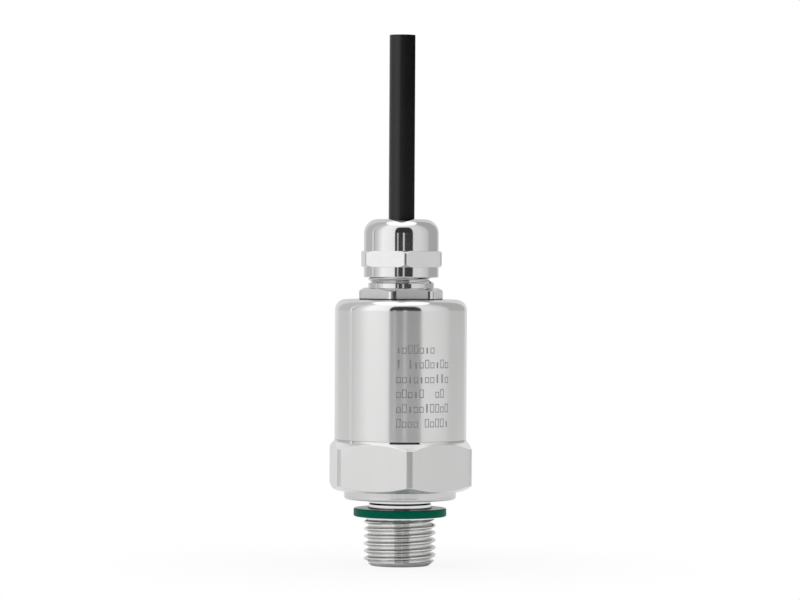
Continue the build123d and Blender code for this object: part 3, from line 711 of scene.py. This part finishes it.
# %% [markdown]
# ## Shader maths
# A finish is worked out from a point's place on its piece. A small class wraps a
# socket, so that such sums read like plain arithmetic and each operator adds its Math
# node. A second class owns a node tree and has one method that makes any other node.

# %% A socket that can be added, multiplied and compared
class Signal:
    """A number that varies over a surface, as a socket in a node tree."""

    def __init__(self, graph, socket):
        self.graph = graph
        self.socket = socket

    def math(self, operation, *values):
        """A Math node with this signal first."""
        inputs = dict(enumerate((self, *values)))
        return self.graph.node("Math", {"operation": operation}, inputs)

    def __add__(self, other):
        return self.math("ADD", other)

    __radd__ = __add__

    def __sub__(self, other):
        return self.math("SUBTRACT", other)

    def __rsub__(self, other):
        return self.math("MULTIPLY_ADD", -1, other)

    def __mul__(self, other):
        return self.math("MULTIPLY", other)

    __rmul__ = __mul__

    def __truediv__(self, other):
        return self.math("DIVIDE", other)

    def __rtruediv__(self, other):
        return self.graph.node("Math", {"operation": "DIVIDE"}, {0: other, 1: self})

    def __gt__(self, other):
        return self.math("GREATER_THAN", other)

    def __lt__(self, other):
        return self.math("LESS_THAN", other)

    def floor(self):
        return self.math("FLOOR")

    def fraction(self):
        return self.math("FRACT")

    def size(self):
        return self.math("ABSOLUTE")

    def fade(self, low, high, start=0.0, end=1.0):
        """Smooth step from start at low to end at high."""
        inputs = {"Value": self, "From Min": low, "From Max": high, "To Min": start, "To Max": end}
        return self.graph.node("MapRange", {"interpolation_type": "SMOOTHSTEP"}, inputs)

    def between(self, low, high, soft):
        """One between two limits and nought outside, with soft edges."""
        return self.fade(low - soft, low + soft) * self.fade(high - soft, high + soft, 1.0, 0.0)


print("reflected operators", [name for name in vars(Signal) if name.startswith("__r")])

# %% A node tree that is built by one method
class Graph:
    """The node tree of a material or of the world."""

    def __init__(self, tree):
        self.tree = tree
        tree.nodes.clear()

    def node(self, kind, settings=None, inputs=None, output=0):
        """Add a node, set it up, then give its sockets their values or links."""
        node = self.tree.nodes.new("ShaderNode" + kind)
        for name, value in (settings or {}).items():
            if name == "stops":
                self.set_stops(node.color_ramp, value)
            else:
                setattr(node, name, value)
        for name, value in (inputs or {}).items():
            if isinstance(value, Signal):
                self.tree.links.new(value.socket, node.inputs[name])
            else:
                node.inputs[name].default_value = value
        return Signal(self, node.outputs[output]) if node.outputs else node

    def set_stops(self, ramp, stops):
        """Give a colour ramp grey stops, as pairs of place and level."""
        for place, level in stops[1:-1]:
            ramp.elements.new(place)
        for element, (place, level) in zip(ramp.elements, stops):
            element.position = place
            element.color = (level, level, level, 1)

    def place(self):
        """The point's x, y and z on its piece, in millimetres."""
        point = self.node("TexCoord", output="Object")
        scaled = self.node("VectorMath", {"operation": "SCALE"}, {0: point, "Scale": 1 / MM})
        return scaled, [self.node("SeparateXYZ", {}, {0: scaled}, output=axis) for axis in "XYZ"]

    def normal_z(self):
        """How far the surface faces up or down, from nought to one."""
        normal = self.node("TexCoord", output="Normal")
        return self.node("SeparateXYZ", {}, {0: normal}, output="Z").size()

    def noise(self, point, stretch, detail=2.0, roughness=0.5):
        """Noise from 0 to 1, on a point in millimetres times a stretch per axis."""
        scaled = self.node("VectorMath", {"operation": "MULTIPLY"}, {0: point, 1: stretch})
        inputs = {"Vector": scaled, "Scale": 1.0, "Detail": detail, "Roughness": roughness}
        return self.node("TexNoise", {}, inputs)

    def random(self, x, y):
        """One random number for each pair of whole numbers."""
        pair = self.node("CombineXYZ", {}, {0: x, 1: y})
        return self.node("TexWhiteNoise", {"noise_dimensions": "3D"}, {"Vector": pair})

    def colour(self, share, low, high):
        """Mix of two colours."""
        inputs = {0: share, 6: (*low, 1), 7: (*high, 1)}
        return self.node("Mix", {"data_type": "RGBA"}, inputs, output=2)

    def shade(self, ground, share, colour):
        """Lay a colour over another colour signal by a share."""
        inputs = {0: share, 6: ground, 7: (*colour, 1)}
        return self.node("Mix", {"data_type": "RGBA"}, inputs, output=2)

    def bump(self, height, depth, strength=1.0):
        """Normal that stands for a relief whose depth is given in millimetres."""
        inputs = {"Height": height, "Distance": depth * MM, "Strength": strength}
        return self.node("Bump", {}, inputs)


print("graph methods", [name for name in vars(Graph) if not name.startswith("_")])

# %% A finish from a function of its graph
FINISHES = {}


def finish(name, make):
    """Make a material whose Principled sockets come from a function of its graph."""
    material = bpy.data.materials.new(name + "_finish")
    FINISHES[name] = material
    material.use_nodes = True
    graph = Graph(material.node_tree)
    shader = graph.node("BsdfPrincipled", {}, make(graph))
    graph.node("OutputMaterial", {}, {"Surface": shader})
    print("finish", name, len(material.node_tree.nodes), "nodes")


print("finishes so far", len(FINISHES))

# %% [markdown]
# ## Turned steel
# Turning leaves fine rings round the axis. Each is far too small to see, but together
# they spread a reflection up and down and hardly sideways, so upright edges stay sharp.
# Anisotropy gives that spread. Wider, weaker rings in a bump keep it from looking
# computed, and a soft cloud in the roughness stands for handling. The stem is smoother
# than the rest. Its lighter colour and that of the chamfers are painted highlight, and
# the greyer flanks of its thread are painted shade. Painted shade also darkens the
# groove, the shoulder's foot and the ring's edge.

# %% Steel finishes
STEEL_LOW = (0.715, 0.715, 0.71)
STEEL_HIGH = (0.77, 0.77, 0.765)
SLEEVE_LOW = (0.765, 0.765, 0.76)
SLEEVE_HIGH = (0.815, 0.815, 0.81)
# Painted highlight: the stem and the hexagon's chamfers are lightened to this colour.
PAINTED_HIGHLIGHT_STEEL = (0.93, 0.93, 0.925)
# Painted shade darkens crevices to this grey.
PAINTED_SHADE_GREY = (0.10, 0.095, 0.09)
# Share of painted shade on the stem's faces that tilt up or down, chiefly the thread's flanks.
FLANK_PAINTED_SHADE = 0.45
COLLAR_BAND_Z = 12.75


def ring_marks(graph, point):
    """Turning rings at two widths."""
    coarse = graph.noise(point, (0.05, 0.05, 1.6), 2)
    fine = graph.noise(point, (0.08, 0.08, 9.0), 3, 0.6)
    return coarse * 0.4 + fine * 0.6


def connection_steel(graph):
    """Smooth stem, shoulder and land, drawn flats on the hexagon, painted highlight and shade."""
    point, (_, _, z) = graph.place()
    marks = ring_marks(graph, point)
    flat = z.between(HEX_Z + 0.2, HEX_TOP_Z - 0.1, 0.1) * (graph.normal_z() < 0.2)
    grain = graph.noise(point, (5.0, 5.0, 0.15), 2, 0.5)
    stem = z.fade(COLLAR_Z - 0.1, COLLAR_Z, 1.0, 0.0)
    relief = (marks * (1 - flat) + grain * flat) * (1 - stem)
    cloud = graph.noise(point, (0.25, 0.25, 0.15), 2, 0.5)
    collar = z.between(COLLAR_BAND_Z, HEX_Z, 0.1)
    chamfer = z.between(HEX_Z, LAND_Z, 0.02) * (graph.normal_z() > 0.3)
    # Painted shade greys the thread's flanks, which face up and down.
    shaded_flanks = stem * graph.normal_z().fade(0.70, 0.88)
    land = z.between(LAND_Z, HEX_TOP_Z, 0.02)
    # Painted shade in the groove, at the shoulder's foot and at the ring's edge.
    painted_crevice_shade = (
        (z - GROOVE_Z).size().fade(0.10, 0.22, 1.0, 0.0)
        + (z - COLLAR_Z).size().fade(0.05, 0.20, 0.6, 0.0)
        + (z - SEAL_Z - SEAL_THICKNESS).size().fade(0.12, 0.30, 0.9, 0.0)
    )
    # Painted highlight lightens the stem and the hexagon's chamfers.
    bright = chamfer.math("MAXIMUM", stem)
    steel = graph.shade(graph.colour(cloud, STEEL_LOW, STEEL_HIGH), bright, PAINTED_HIGHLIGHT_STEEL)
    # Share of painted shade: the crevices and the thread's flanks.
    painted_shade_share = painted_crevice_shade.math("MAXIMUM", shaded_flanks * FLANK_PAINTED_SHADE)
    smoother = 0.14 * stem + 0.12 * collar + 0.15 * land
    return {
        "Base Color": graph.shade(steel, painted_shade_share, PAINTED_SHADE_GREY),
        "Metallic": 1.0,
        "Roughness": 0.19 + 0.05 * cloud + 0.05 * flat - smoother,
        "Anisotropic": 0.85,
        "Anisotropic Rotation": 0.25,
        "Normal": graph.bump(relief, 0.002, 0.35),
    }


finish("turned_steel", connection_steel)

# %% [markdown]
# ## The sleeve's markings
# Rows of small blank outlines stand on the front of the sleeve. A laser leaves a matt
# stroke, which stays the same grey where the metal round it mirrors something dark, so
# the strokes are a mask on the finish and need no geometry. The shoulder is smoother
# than the sides, and painted shade darkens the top in the crevice at the gland's foot.

# %% Rows of blank shapes
MARK_LOW_Z = 25.6
MARK_PITCH = 2.65
MARK_ROWS = 6
MARK_START = -0.9
MARK_CELL = 1.05
STROKE = 0.15
SHORTEST_ROW = 6.5
ROW_SPREAD = 3.5
HALF_WIDTH = 0.33
THINNER = 0.25
HALF_HEIGHT = 0.46
TALLER = 0.24
NO_SHAPE = 0.12
TALL_SHAPE = 0.55
THIN_SHAPE = 0.72


def mark_mask(graph, x, y, z):
    """One on the strokes of the small blank shapes, and nought elsewhere."""
    across = x * cos(VIEW_AZIMUTH) + y * sin(VIEW_AZIMUTH)
    towards = x * sin(VIEW_AZIMUTH) - y * cos(VIEW_AZIMUTH)
    along = (across.math("ARCTAN2", towards) * HOUSING_RADIUS - MARK_START) / MARK_CELL
    up = (z - MARK_LOW_Z) / MARK_PITCH
    row, cell = up.floor(), along.floor()
    pick = graph.random(cell, row)
    length = SHORTEST_ROW + ROW_SPREAD * graph.random(row, 7.0)
    half_width = HALF_WIDTH - THINNER * (pick > THIN_SHAPE)
    half_height = HALF_HEIGHT + TALLER * (graph.random(cell, row + 20) > TALL_SHAPE)
    off_side = (along.fraction() - 0.5).size() * MARK_CELL - half_width
    off_level = (up.fraction() * MARK_PITCH - half_height - 0.1).size() - half_height
    outside = off_side.math("MAXIMUM", off_level)
    stroke = outside.size() < STROKE / 2
    rows = (up > 0) * (up < MARK_ROWS)
    cells = (along > 0) * (cell < length) * (pick > NO_SHAPE)
    return stroke * rows * cells


print("rows of blank shapes", MARK_ROWS)

# %% Steel of the sleeve
MARK_GREY = (0.30, 0.30, 0.305)
SHOULDER_Z = 46.4
# Inside this radius painted shade darkens the sleeve's top round the gland's foot.
PAINTED_SHADE_RADIUS = 8.0


def sleeve_steel(graph):
    """Fine turned finish with matt blank marks, a smoother shoulder and painted shade round the
    gland's foot.
    """
    point, (x, y, z) = graph.place()
    marks = ring_marks(graph, point)
    cloud = graph.noise(point, (0.25, 0.25, 0.06), 2, 0.5)
    etched = mark_mask(graph, x, y, z)
    shoulder = z.fade(SHOULDER_Z - 0.1, SHOULDER_Z + 0.1)
    off_axis = (x * x + y * y).math("SQRT")
    # Painted shade on the top round the gland's foot.
    painted_shade = off_axis.fade(PAINTED_SHADE_RADIUS, PAINTED_SHADE_RADIUS + 0.5, 1.0, 0.0) * shoulder
    steel = graph.shade(graph.colour(cloud, SLEEVE_LOW, SLEEVE_HIGH), etched, MARK_GREY)
    return {
        "Base Color": graph.shade(steel, painted_shade * 0.8, PAINTED_SHADE_GREY),
        "Metallic": 1 - 0.85 * etched,
        "Roughness": 0.23 + 0.03 * cloud + 0.2 * etched - 0.11 * shoulder,
        "Anisotropic": 0.9,
        "Anisotropic Rotation": 0.25,
        "Normal": graph.bump(marks, 0.002, 0.25),
    }


finish("housing_steel", sleeve_steel)

# %% [markdown]
# ## Nickel plate
# Bright nickel over brass is nearly a mirror. Its warmth is so slight that it hardly
# shows in the photograph's grey surroundings. The flange's flats keep the grain of the
# drawn bar below the plating, so they are satin.

# %% Nickel finish
NICKEL_LOW = (0.69, 0.69, 0.687)
NICKEL_HIGH = (0.75, 0.75, 0.747)
FLAT_SATIN = 0.25
FLAT_REACH = 7.6


def nickel(graph):
    """Bright plate, satin on the flange's flats and bright again at their corners, with painted
    shade at the flange's foot.
    """
    point, (x, y, z) = graph.place()
    off_axis = (x * x + y * y).math("SQRT")
    flange = z.between(HOUSING_TOP_Z, FLANGE_TOP_Z, 0.05)
    flats = flange * (graph.normal_z() < 0.3) * (off_axis < FLAT_REACH)
    grain = graph.noise(point, (9.0, 9.0, 0.3), 3, 0.6)
    peel = graph.noise(point, (0.8, 0.8, 0.8), 1)
    cloud = graph.noise(point, (0.5, 0.5, 0.5), 3, 0.6)
    relief = peel * (1 - flats) + grain * flats
    # Painted shade at the flange's foot, where it meets the sleeve.
    painted_shade = (z - HOUSING_TOP_Z).size().fade(0.12, 0.25, 1.0, 0.0)
    plate = graph.colour(cloud, NICKEL_LOW, NICKEL_HIGH)
    return {
        "Base Color": graph.shade(plate, painted_shade, PAINTED_SHADE_GREY),
        "Metallic": 1.0,
        "Roughness": 0.07 + 0.04 * cloud + FLAT_SATIN * flats,
        "Normal": graph.bump(relief, 0.004, 0.3),
    }


finish("nickel_plate", nickel)

# %% [markdown]
# ## Rubber and plastic
# The profile ring is a saturated fluoro-rubber green, the lead's jacket an extruded
# black with a satin skin and very fine lengthwise lines. The small inner pieces take
# simple finishes of the same kind: a colour cloud, a roughness and a faint grain.

# %% Rubber of the profile ring
RING_LOW = (0.0, 0.118, 0.071)
RING_HIGH = (0.0, 0.153, 0.094)
# Painted reflection: the grey that the level faces take.
PAINTED_FACE_REFLECTION = (0.36, 0.355, 0.355)


def ring_rubber(graph):
    """Clean green round the side, smoother on the level faces, which a painted reflection greys.
    """
    point = graph.place()[0]
    cloud = graph.noise(point, (0.6, 0.6, 0.6), 4, 0.6)
    level = graph.normal_z() > 0.9
    green = graph.colour(cloud, RING_LOW, RING_HIGH)
    return {
        # The level faces take a painted reflection in grey.
        "Base Color": graph.shade(green, level * 0.7, PAINTED_FACE_REFLECTION),
        "Roughness": 0.28 + 0.12 * cloud - 0.2 * level,
        "Specular IOR Level": 0.04,
        "Normal": graph.bump(graph.noise(point, (2.0, 2.0, 2.0), 3, 0.6), 0.01),
    }


finish("green_rubber", ring_rubber)

# %% Other rubber and plastic finishes
def moulded(low, high, roughness, grain=(2.0, 2.0, 2.0), depth=0.01):
    """Finish of a moulded or extruded piece."""

    def make(graph):
        point = graph.place()[0]
        cloud = graph.noise(point, (0.6, 0.6, 0.6), 4, 0.6)
        relief = graph.noise(point, grain, 3, 0.6)
        return {
            "Base Color": graph.colour(cloud, low, high),
            "Roughness": roughness + 0.12 * cloud,
            "Normal": graph.bump(relief, depth),
        }

    return make


JACKET_LINES = (2.2, 2.2, 0.06)
CHIP_GRAIN = (9.0, 9.0, 9.0)
BOARD_LAYERS = (1.5, 1.5, 0.1)
finish(
    "jacket_black",
    moulded((0.004, 0.004, 0.0045), (0.006, 0.006, 0.0065), 0.24, JACKET_LINES, 0.006),
)
finish("black_rubber", moulded((0.010, 0.010, 0.010), (0.020, 0.020, 0.020), 0.55))
finish("insert_nylon", moulded((0.62, 0.60, 0.54), (0.72, 0.70, 0.64), 0.40))
finish("holder_plastic", moulded((0.03, 0.03, 0.032), (0.05, 0.05, 0.052), 0.42))
finish("core_red", moulded((0.45, 0.020, 0.015), (0.55, 0.030, 0.020), 0.35))
finish("core_black", moulded((0.010, 0.010, 0.011), (0.018, 0.018, 0.019), 0.35))
finish("core_green", moulded((0.015, 0.200, 0.060), (0.025, 0.260, 0.080), 0.35))
finish("chip_black", moulded((0.012, 0.012, 0.013), (0.022, 0.022, 0.024), 0.50, CHIP_GRAIN))
finish("capacitor_tan", moulded((0.42, 0.27, 0.13), (0.52, 0.35, 0.18), 0.45))
finish("white_ceramic", moulded((0.72, 0.71, 0.68), (0.80, 0.79, 0.76), 0.45))
finish("seal_glass", moulded((0.02, 0.09, 0.06), (0.04, 0.13, 0.09), 0.12))
finish(
    "board_laminate",
    moulded((0.015, 0.110, 0.045), (0.025, 0.150, 0.060), 0.30, BOARD_LAYERS),
)

# %% [markdown]
# ## Small metal pieces
# The braid is a basket of tinned wires, so its relief is two crossing sets of helical
# lines. The copper, solder, pins and capsule are plain bright or dull metals.

# %% Small metal finishes
def metal(low, high, roughness, grain=(3.0, 3.0, 3.0), depth=0.004):
    """Finish of a small metal piece."""

    def make(graph):
        point = graph.place()[0]
        cloud = graph.noise(point, (0.8, 0.8, 0.8), 4, 0.6)
        relief = graph.noise(point, grain, 3, 0.6)
        return {
            "Base Color": graph.colour(cloud, low, high),
            "Metallic": 1.0,
            "Roughness": roughness + 0.12 * cloud,
            "Normal": graph.bump(relief, depth),
        }

    return make


BRAID_WIRES = 16
BRAID_CLIMB = 0.8
TURNED_GRAIN = (0.3, 0.3, 9.0)


def braid(graph):
    """Tinned copper braid: two sets of wires that cross."""
    _, (x, y, z) = graph.place()
    round_axis = y.math("ARCTAN2", x) * (BRAID_WIRES / 2 / pi)
    one_way = (round_axis + z * BRAID_CLIMB).math("PINGPONG", 0.5)
    other_way = (round_axis - z * BRAID_CLIMB).math("PINGPONG", 0.5)
    weave = one_way.math("MAXIMUM", other_way) * 2
    return {
        "Base Color": graph.colour(weave, (0.32, 0.31, 0.30), (0.72, 0.71, 0.69)),
        "Metallic": 1.0,
        "Roughness": 0.30 + 0.15 * (1 - weave),
        "Normal": graph.bump(weave, 0.05),
    }


finish("tinned_braid", braid)
finish("copper", metal((0.72, 0.36, 0.22), (0.84, 0.46, 0.30), 0.25))
finish("capsule_steel", metal((0.62, 0.61, 0.59), (0.72, 0.71, 0.69), 0.22, TURNED_GRAIN))
finish("gold_pins", metal((0.80, 0.58, 0.24), (0.88, 0.66, 0.32), 0.20))
finish("solder", metal((0.58, 0.58, 0.57), (0.70, 0.70, 0.69), 0.28))
finish("silicon", metal((0.18, 0.19, 0.21), (0.26, 0.27, 0.30), 0.15))

# %% [markdown]
# ## Dressing
# The packed record names one finish for each solid. The turned pieces take theirs by
# name, and every packed solid that stays gets the finish of the same name, so nothing
# is left in its packing colour.

# %% Give every piece its finish
TURNED_PIECES = {
    "process_connection": connection,
    "seal_ring": seal,
    "housing": sleeve,
    "gland_body": gland,
    "gland_nut": nut,
    "cable": jacket,
}
for part in frame["record"]["subparts"]:
    slot = part["material_slot"]
    packed = frame["nodes"][part["node"]]
    for material_slot in packed.material_slots:
        material_slot.material = FINISHES[slot]
    piece = TURNED_PIECES.get(part["node"])
    if piece:
        piece.data.materials.append(FINISHES[slot])
print("finishes", len(FINISHES))

# %% [markdown]
# ## Floor and background
# The floor is a matt near-white sheet, and metal mirrors it as such, with the shade
# that lies under the hexagon. For the camera most of it glows at strength 1, which is
# white, so only the shadow round the stem's tip darkens it. The shaded share fades out
# away from the object, where the floor meets the white world.

# %% Pieces and materials of the studio
def stage_mesh(name, points, faces, material):
    """A piece of the studio, which isn't part of the object."""
    data = bpy.data.meshes.new(name)
    data.from_pydata(points, [], faces)
    data.materials.append(material)
    piece = bpy.data.objects.new(name, data)
    bpy.context.scene.collection.objects.link(piece)
    return piece


def stage_material(name, make):
    """A studio material, whose shader comes from a function of its graph."""
    material = bpy.data.materials.new(name)
    material.use_nodes = True
    graph = Graph(material.node_tree)
    graph.node("OutputMaterial", {}, {"Surface": make(graph)})
    return material


print("meshes before the studio", len(bpy.data.meshes))

# %% Floor
FLOOR_SIZE = 3.0
LIT_SHARE = 0.12
SHADE_START = 12
SHADE_END = 70


def floor_shader(graph):
    """Matt white that the camera sees mostly as a glow."""
    _, (x, y, _) = graph.place()
    reach = (x * x + y * y).math("SQRT")
    seen = graph.node("LightPath", output="Is Camera Ray")
    lit = 1 - seen * (1 - LIT_SHARE * reach.fade(SHADE_START, SHADE_END, 1.0, 0.0))
    glow = graph.node("Emission", {}, {"Color": (1, 1, 1, 1), "Strength": 1.0})
    matt = graph.node("BsdfDiffuse", {}, {"Color": (0.93, 0.93, 0.93, 1)})
    return graph.node("MixShader", {}, {0: lit, 1: glow, 2: matt})


half = FLOOR_SIZE / 2
stage_mesh(
    "floor",
    [(-half, -half, 0), (half, -half, 0), (half, half, 0), (-half, half, 0)],
    [(0, 1, 2, 3)],
    stage_material("floor_white", floor_shader),
)
print("floor", FLOOR_SIZE, "m wide")

# %% [markdown]
# ## Studio
# Bright metal shows its surroundings, so the studio is built to be seen in it. A tall
# curved wall of diffusers closes all round the object, brighter to the left and greyer
# to the right, with a dark opening round the camera. The camera itself doesn't see the
# wall but the white world. The light is read from one list of bearings, counted from
# the camera to the right, and the levels are the ones that the sleeve mirrors. The
# black lead would mirror the right-hand wall too. A photographer keeps that light off
# it with a flag, and here the wall is simply told not to light the jacket.

# %% Light of the wall
WALL_PEAK = 1.6
WALL_LEVELS = [
    (-180, 0.70), (-170, 0.70), (-160, 0.80), (-148, 0.78), (-141, 0.74), (-139, 0.60),
    (-99.5, 0.60), (-98.5, 1.15), (-96, 1.15), (-95, 0.25), (-90, 0.68), (-81, 0.76),
    (-60, 1.20), (36, 0.88), (60, 0.86), (74, 0.78), (88, 0.68), (96, 0.49),
    (147, 0.48), (150, 0.72), (160, 0.80), (170, 0.70), (180, 0.70),
]
GAP_MIDDLE = 8.0
GAP_HALF_WIDTH = 28.0
GAP_TOP = 1450
GAP_FILL = 0.04
GAP_EDGE = (0.93, 1.05)
POST_BEARINGS = (7, -11)
POST_CORES = (1.4, 0.6)
POST_EDGES = (3.8, 2.4)
POST_LEVELS = (0.75, 0.8)
POST_END = (120, 260)


def wall_light(graph):
    """Levels by bearing, and the dark opening with two slim light posts in it."""
    _, (x, y, z) = graph.place()
    across = x * cos(VIEW_AZIMUTH) + y * sin(VIEW_AZIMUTH)
    towards = x * sin(VIEW_AZIMUTH) - y * cos(VIEW_AZIMUTH)
    bearing = across.math("ARCTAN2", towards) * (180 / pi)
    stops = [((place + 180) / 360, level / WALL_PEAK) for place, level in WALL_LEVELS]
    level = graph.node("ValToRGB", {"stops": stops}, {0: (bearing + 180) / 360}) * WALL_PEAK
    sideways = ((bearing - GAP_MIDDLE) / GAP_HALF_WIDTH).size().math("POWER", 5)
    upwards = (z / GAP_TOP).math("POWER", 3)
    opening = (sideways + upwards).fade(*GAP_EDGE, 1.0, 0.0)
    right_post, left_post = [
        (bearing - place).size().fade(core, edge, post, 0.0)
        for place, core, edge, post in zip(POST_BEARINGS, POST_CORES, POST_EDGES, POST_LEVELS)
    ]
    posts = (right_post + left_post) * z.fade(*POST_END, 1.0, 0.0) + GAP_FILL
    light = level * (1 - opening) + posts * opening
    colour = graph.node("CombineColor", {}, {0: light, 1: light, 2: light})
    return graph.node("Emission", {}, {"Color": colour, "Strength": 1.0})


wall_material = stage_material("diffuser_wall", wall_light)
print("wall levels", len(WALL_LEVELS))

# %% Wall of diffusers
WALL_RADIUS = 1.2
WALL_HEIGHT = 2.4
WALL_END = 180
WALL_STEP = 2
GAP_RIGHT = 36


def studio_wall(name, start, end):
    """Curved wall between two bearings, which the camera doesn't see."""
    points, faces = [], []
    steps = ceil((end - start) / WALL_STEP)
    for step in range(steps + 1):
        angle = VIEW_AZIMUTH - pi / 2 + radians(start + (end - start) * step / steps)
        x, y = WALL_RADIUS * cos(angle), WALL_RADIUS * sin(angle)
        points += [(x, y, 0), (x, y, WALL_HEIGHT)]
    for low in range(0, 2 * steps, 2):
        faces.append((low, low + 2, low + 3, low + 1))
    wall = stage_mesh(name, points, faces, wall_material)
    wall.visible_camera = False
    return wall


studio_wall("diffuser_wall_left", -WALL_END, GAP_RIGHT)
right_wall = studio_wall("diffuser_wall_right", GAP_RIGHT, WALL_END)
unlit = bpy.data.collections.new("kept_out_of_the_right_wall")
unlit.objects.link(jacket)
unlit.collection_objects[0].light_linking.link_state = "EXCLUDE"
right_wall.light_linking.receiver_collection = unlit
print("wall radius", WALL_RADIUS, "m")

# %% [markdown]
# ## Overhead light
# A wide diffuser hangs over the set and makes the rounded shoulders bright.

# %% Overhead diffuser
OVERHEAD_LEVEL = 1.4
RIM_POINTS = 64


def overhead_light(graph):
    """Shader of an evenly lit diffuser."""
    return graph.node("Emission", {}, {"Color": (1, 1, 1, 1), "Strength": OVERHEAD_LEVEL})


rim = [
    (WALL_RADIUS * cos(angle), WALL_RADIUS * sin(angle), WALL_HEIGHT)
    for angle in round_angles(RIM_POINTS)
]
overhead = stage_mesh(
    "overhead_diffuser",
    rim,
    [tuple(range(RIM_POINTS))],
    stage_material("overhead_diffuser", overhead_light),
)
overhead.visible_camera = False
print("overhead level", OVERHEAD_LEVEL)

# %% [markdown]
# ## World and view
# Behind the floor the camera sees the world, whose strength of 1 is plain white. The
# Standard view shows a colour about as it is written, which suits a part that has to
# look right under other light too.

# %% World and view
world = bpy.data.worlds.new("white_world")
bpy.context.scene.world = world
world.use_nodes = True
graph = Graph(world.node_tree)
sky = graph.node("Background", {}, {"Color": (1, 1, 1, 1), "Strength": 1.0})
graph.node("OutputWorld", {}, {"Surface": sky})
bpy.context.scene.view_settings.view_transform = "Standard"
print("view", bpy.context.scene.view_settings.view_transform)
